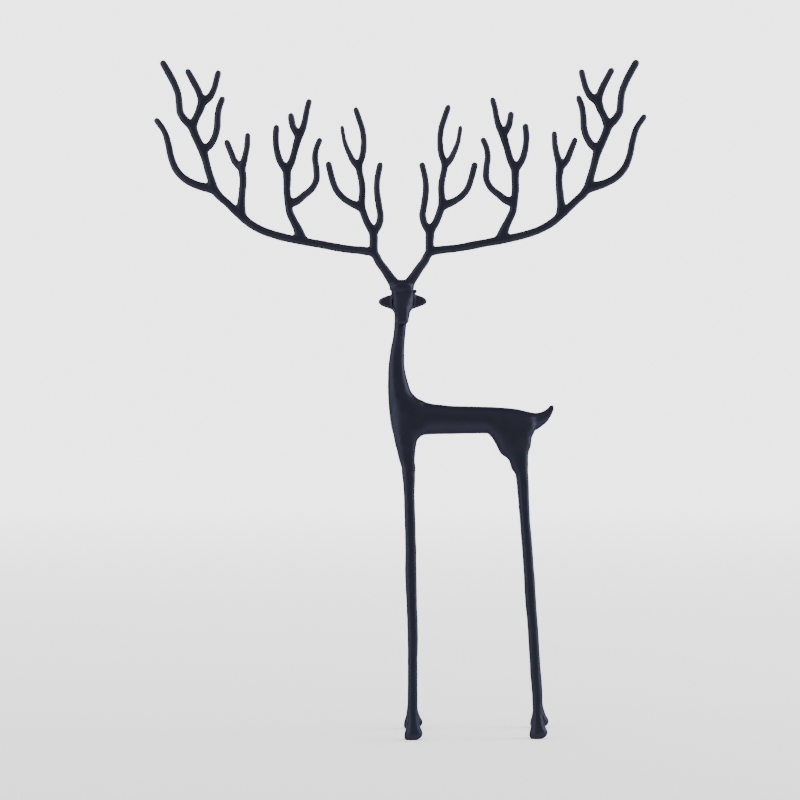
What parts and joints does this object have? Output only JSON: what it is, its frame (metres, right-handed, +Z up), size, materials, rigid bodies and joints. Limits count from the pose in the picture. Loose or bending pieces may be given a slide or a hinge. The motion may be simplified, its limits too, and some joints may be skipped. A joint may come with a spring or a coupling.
{
  "type": "deer sculpture",
  "caption": "Slender standing deer cast in dark satin aluminium, head turned to one side, with wide flat many-tined antlers, on four small hooves.",
  "frame": {"origin": "on the floor under the middle of the casting's own bounding box", "axes": "+X from the chest to the tail, across the antlers; the head looks towards -Y; +Z up"},
  "size_m": [0.447, 0.1044, 0.6097],
  "materials": {
    "dark_aluminium": "dark charcoal satin, blackened cast aluminium"
  },
  "bodies": {
    "root": {"deer": "dark_aluminium"}
  },
  "joints": []
}
